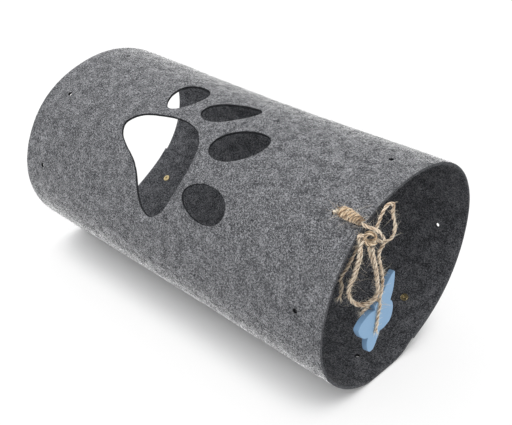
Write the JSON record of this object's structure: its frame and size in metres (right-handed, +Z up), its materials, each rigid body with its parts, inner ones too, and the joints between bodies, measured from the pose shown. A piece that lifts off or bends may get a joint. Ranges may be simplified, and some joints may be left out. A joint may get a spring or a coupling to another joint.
{
  "type": "pet tunnel",
  "caption": "Rolled grey felt pet tunnel with a paw-print cut-out, press-stud seam, lacing holes and a foam butterfly hung on twine in one mouth.",
  "frame": {"origin": "on the floor, at the flattened strip under the tube's axis, half-way along the tube", "axes": "+X along the tube towards the mouth with the hanging toy, +Z up, -Y the side with the paw print"},
  "size_m": [0.5256, 0.2728, 0.2466],
  "materials": {
    "felt": "pressed wool-blend felt, mottled mid grey, darker inside",
    "brass": "bright pressed brass",
    "twine": "natural twisted jute, hairy",
    "foam": "light blue closed-cell foam, satin"
  },
  "bodies": {
    "tunnel": {"felt_sheet": "felt", "near_snap_cap": "brass", "near_snap_socket": "brass", "near_snap_stud": "brass", "near_snap_post": "brass", "far_snap_cap": "brass", "far_snap_socket": "brass", "far_snap_stud": "brass", "far_snap_post": "brass", "lashing_leg": "twine", "lashing_winding": "twine", "bow_knot": "twine", "bow_loop": "twine", "hanging_loop_front": "twine", "hanging_loop_back": "twine", "free_tail": "twine"},
    "strand": {"toy_strand": "twine"},
    "butterfly": {"toy_tie": "twine", "butterfly_toy": "foam"}
  },
  "joints": [
    {"name": "toy_swing", "type": "hinge", "parent": "tunnel", "child": "strand", "pos_m": [0.26809, -0.06364, 0.20758], "axis": [0.7254, 0.6884, 0], "range_deg": [-25, 25]},
    {"name": "toy_turn", "type": "hinge", "parent": "strand", "child": "butterfly", "pos_m": [0.26878, -0.0645, 0.13938], "axis": [0, 0, 1], "range_deg": [-60, 15]}
  ]
}
